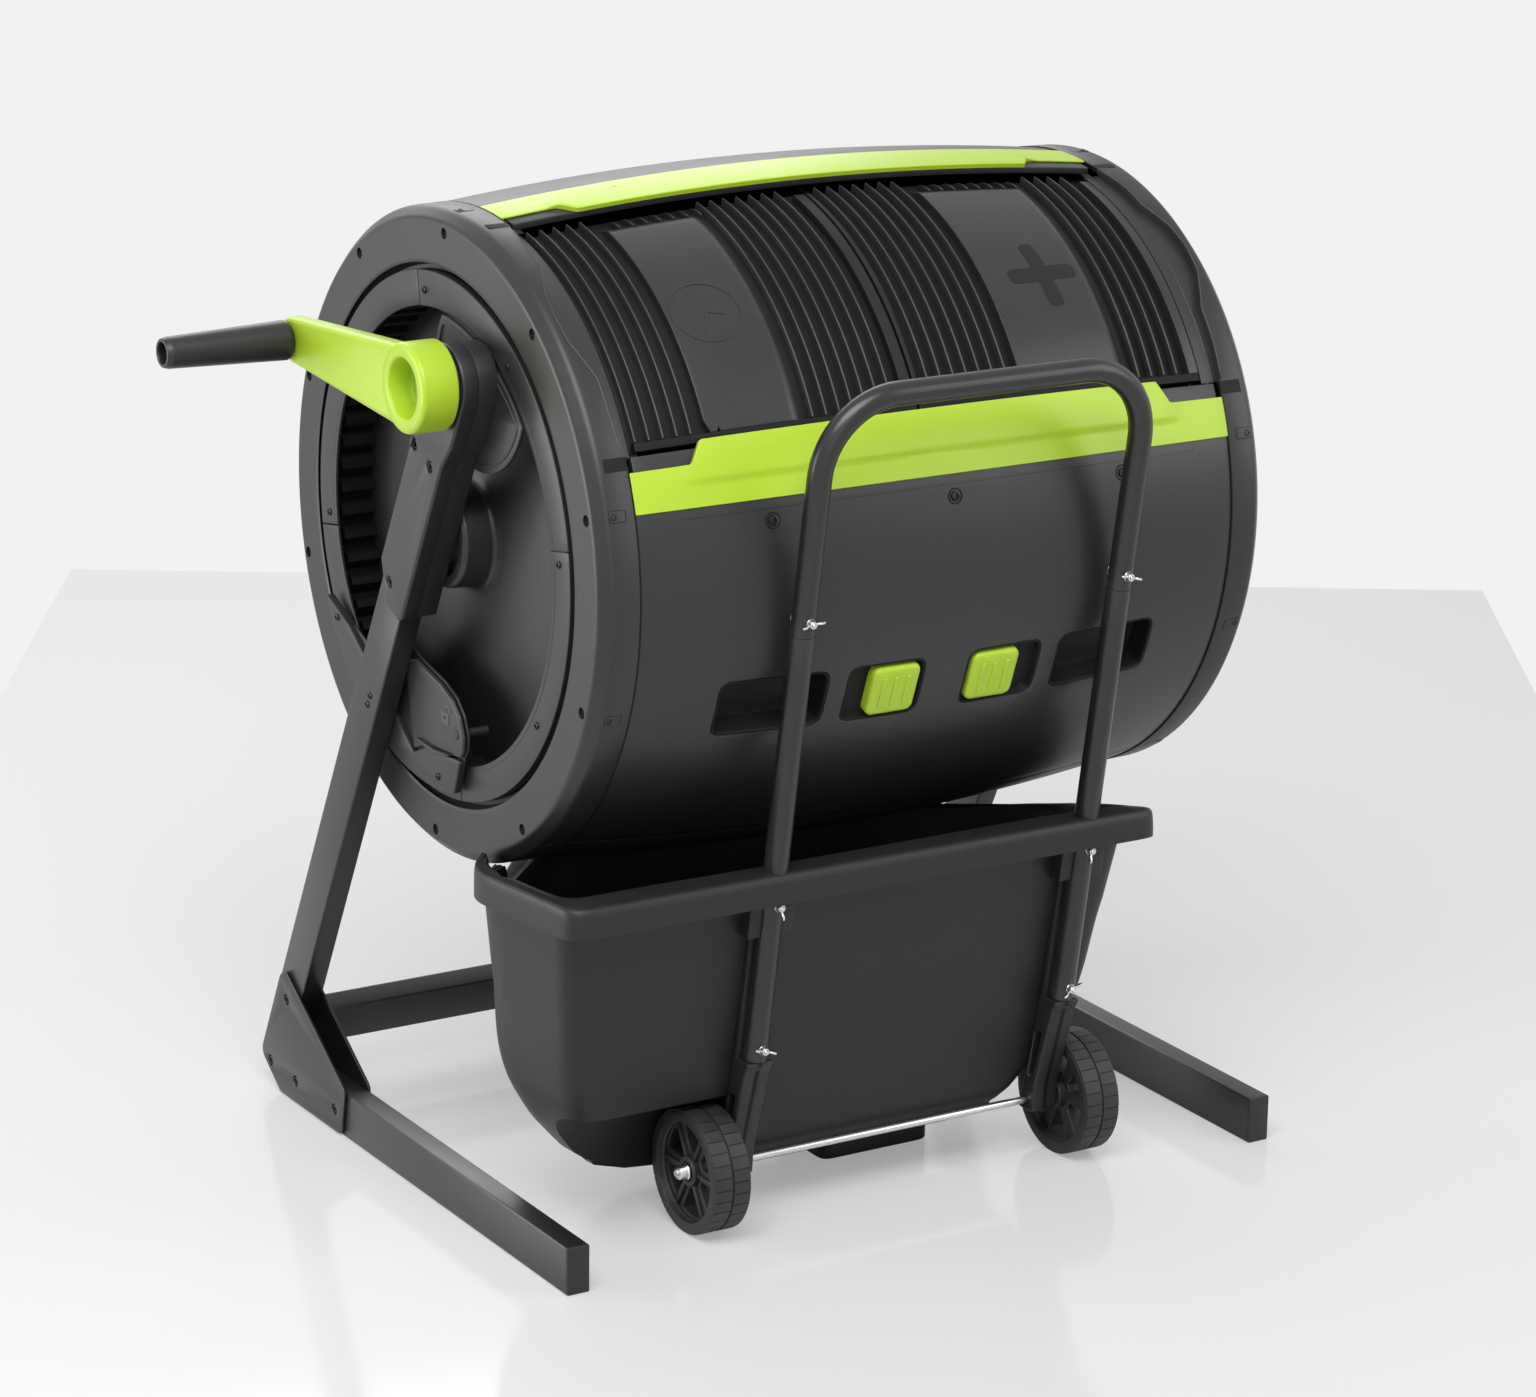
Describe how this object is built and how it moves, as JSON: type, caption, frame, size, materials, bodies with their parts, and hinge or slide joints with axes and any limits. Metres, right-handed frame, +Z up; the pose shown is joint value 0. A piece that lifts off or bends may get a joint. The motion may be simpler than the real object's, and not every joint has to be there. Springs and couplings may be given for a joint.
{
  "type": "compost tumbler",
  "caption": "Geared compost tumbler: barrel drum with sliding doors and crank on a leaning tube stand, with a wheeled collecting cart below.",
  "frame": {"origin": "middle of the whole object's outline, on the floor", "axes": "+X along the drum axis away from the crank, -Y the side where the doors open and the cart rolls out, +Z up"},
  "size_m": [1.044, 0.7694, 1.0394],
  "materials": {
    "powder_steel": "satin black powder coat",
    "black_plastic": "satin black moulded plastic",
    "inner_plastic": "matt black moulded plastic",
    "lime_plastic": "satin lime green moulded plastic",
    "zinc_steel": "bright zinc plate",
    "wheel_plastic": "matt black moulded plastic"
  },
  "bodies": {
    "stand": {"leg_left": "powder_steel", "leg_right": "powder_steel", "leg_cap_left": "inner_plastic", "leg_cap_right": "inner_plastic", "upright_left": "powder_steel", "upright_right": "powder_steel", "gusset_outer_left": "powder_steel", "gusset_outer_right": "powder_steel", "gusset_inner_left": "powder_steel", "gusset_inner_right": "powder_steel", "rear_crossbar": "powder_steel", "arm_outer_left": "black_plastic", "arm_inner_left": "black_plastic", "arm_housing_right": "black_plastic", "axle_left": "zinc_steel", "axle_right": "zinc_steel", "crank_bush": "inner_plastic", "lock_housing": "black_plastic"},
    "drum": {"ring_gear": "inner_plastic", "hub_bush_left": "inner_plastic", "hub_bush_right": "inner_plastic", "end_cover_left": "black_plastic", "end_cover_right": "black_plastic", "end_dish_left": "black_plastic", "end_dish_right": "black_plastic", "gear_cover_1": "black_plastic", "gear_cover_2": "black_plastic", "gear_cover_3": "black_plastic", "gear_cover_4": "black_plastic", "ring_cover_right": "black_plastic", "front_panel": "black_plastic", "bottom_panel": "black_plastic", "rear_lower_panel": "black_plastic", "rear_upper_panel": "black_plastic", "strip_top": "lime_plastic", "strip_front": "lime_plastic", "door_track_left": "inner_plastic", "door_track_right": "inner_plastic", "divider": "inner_plastic"},
    "left_door": {"door_left": "black_plastic"},
    "right_door": {"door_right": "black_plastic"},
    "left_vent": {"vent_slider_left": "lime_plastic"},
    "right_vent": {"vent_slider_right": "lime_plastic"},
    "crank": {"pinion_shaft": "inner_plastic", "crank_arm": "lime_plastic", "crank_bolt": "zinc_steel", "grip_spindle": "zinc_steel"},
    "grip": {"crank_grip": "inner_plastic"},
    "brake_lever": {"lock_lever": "black_plastic"},
    "cart": {"cart_tub": "black_plastic", "post_left": "inner_plastic", "post_right": "inner_plastic", "lower_tube_left": "powder_steel", "lower_tube_right": "powder_steel", "push_bar": "powder_steel", "wing_bolt_left": "zinc_steel", "wing_bolt_right": "zinc_steel", "wheel_rod": "zinc_steel"},
    "left_wheel": {"wheel_left": "wheel_plastic"},
    "right_wheel": {"wheel_right": "wheel_plastic"}
  },
  "joints": [
    {"name": "drum_spin", "type": "hinge", "parent": "stand", "child": "drum", "pos_m": [0.092, 0.02973, 0.686], "axis": [1, 0, 0], "continuous": true},
    {"name": "crank_turn", "type": "hinge", "parent": "stand", "child": "crank", "pos_m": [-0.358, -0.0592, 0.86514], "axis": [1, 0, 0], "continuous": true},
    {"name": "grip_spin", "type": "hinge", "parent": "crank", "child": "grip", "pos_m": [-0.453, 0.1908, 0.86514], "axis": [1, 0, 0], "continuous": true},
    {"name": "left_door_slide", "type": "hinge", "parent": "drum", "child": "left_door", "pos_m": [-0.076, 0.02973, 0.686], "axis": [1, 0, 0], "range_deg": [-50, 0]},
    {"name": "right_door_slide", "type": "hinge", "parent": "drum", "child": "right_door", "pos_m": [0.26, 0.02973, 0.686], "axis": [1, 0, 0], "range_deg": [-50, 0]},
    {"name": "left_vent_slide", "type": "slide", "parent": "drum", "child": "left_vent", "axis": [-1, 0, 0], "range_m": [0, 0.02]},
    {"name": "right_vent_slide", "type": "slide", "parent": "drum", "child": "right_vent", "axis": [1, 0, 0], "range_m": [0, 0.02]},
    {"name": "brake_lever_swing", "type": "hinge", "parent": "stand", "child": "brake_lever", "pos_m": [-0.306, -0.02816, 0.49665], "axis": [1, 0, 0], "range_deg": [0, 18]},
    {"name": "cart_roll_out", "type": "slide", "parent": "stand", "child": "cart", "axis": [0, -1, 0], "range_m": [0, 0.7]},
    {"name": "left_wheel_spin", "type": "hinge", "parent": "cart", "child": "left_wheel", "pos_m": [-0.133, -0.22027, 0.065], "axis": [1, 0, 0], "continuous": true},
    {"name": "right_wheel_spin", "type": "hinge", "parent": "cart", "child": "right_wheel", "pos_m": [0.317, -0.22027, 0.065], "axis": [1, 0, 0], "continuous": true}
  ],
  "couplings": [
    {"joint": "crank_turn", "follows": "drum_spin", "ratio": 6}
  ]
}
